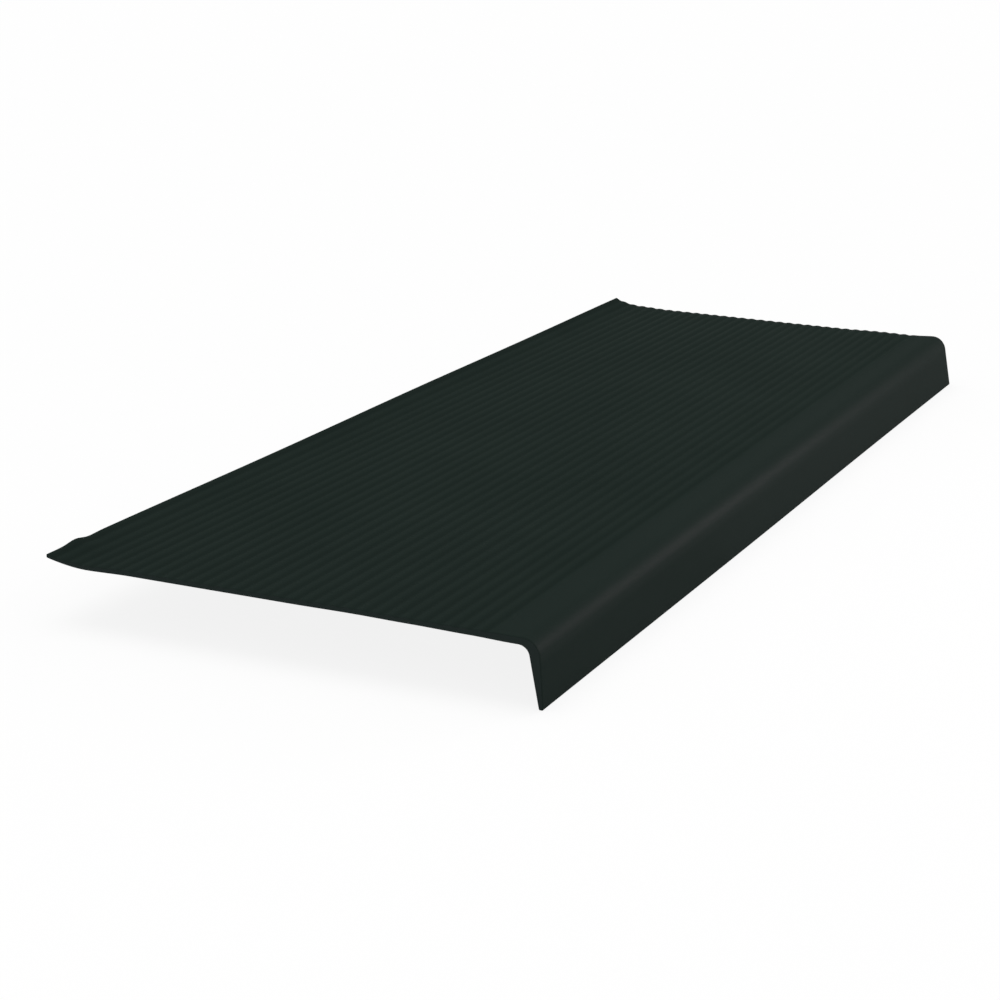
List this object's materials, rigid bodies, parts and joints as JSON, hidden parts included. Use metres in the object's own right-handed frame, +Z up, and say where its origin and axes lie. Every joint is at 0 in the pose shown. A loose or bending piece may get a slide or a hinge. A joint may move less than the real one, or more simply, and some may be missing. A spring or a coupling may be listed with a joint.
{
  "type": "stair tread mat",
  "caption": "Ribbed rubber mat for a stair step, with a smooth band at the front, a rounded nose and a flap that hangs over the step's front edge.",
  "frame": {"origin": "centre of the flat underside that is glued to the step", "axes": "+X along the step, +Y towards the back of the step, +Z up; the flap hangs down at -Y"},
  "size_m": [0.9144, 0.3111, 0.0417],
  "materials": {
    "rubber": "matt moulded rubber, near black with a green tint, with a faint sheen"
  },
  "bodies": {
    "root": {"stair_tread_mat": "rubber"}
  },
  "joints": []
}
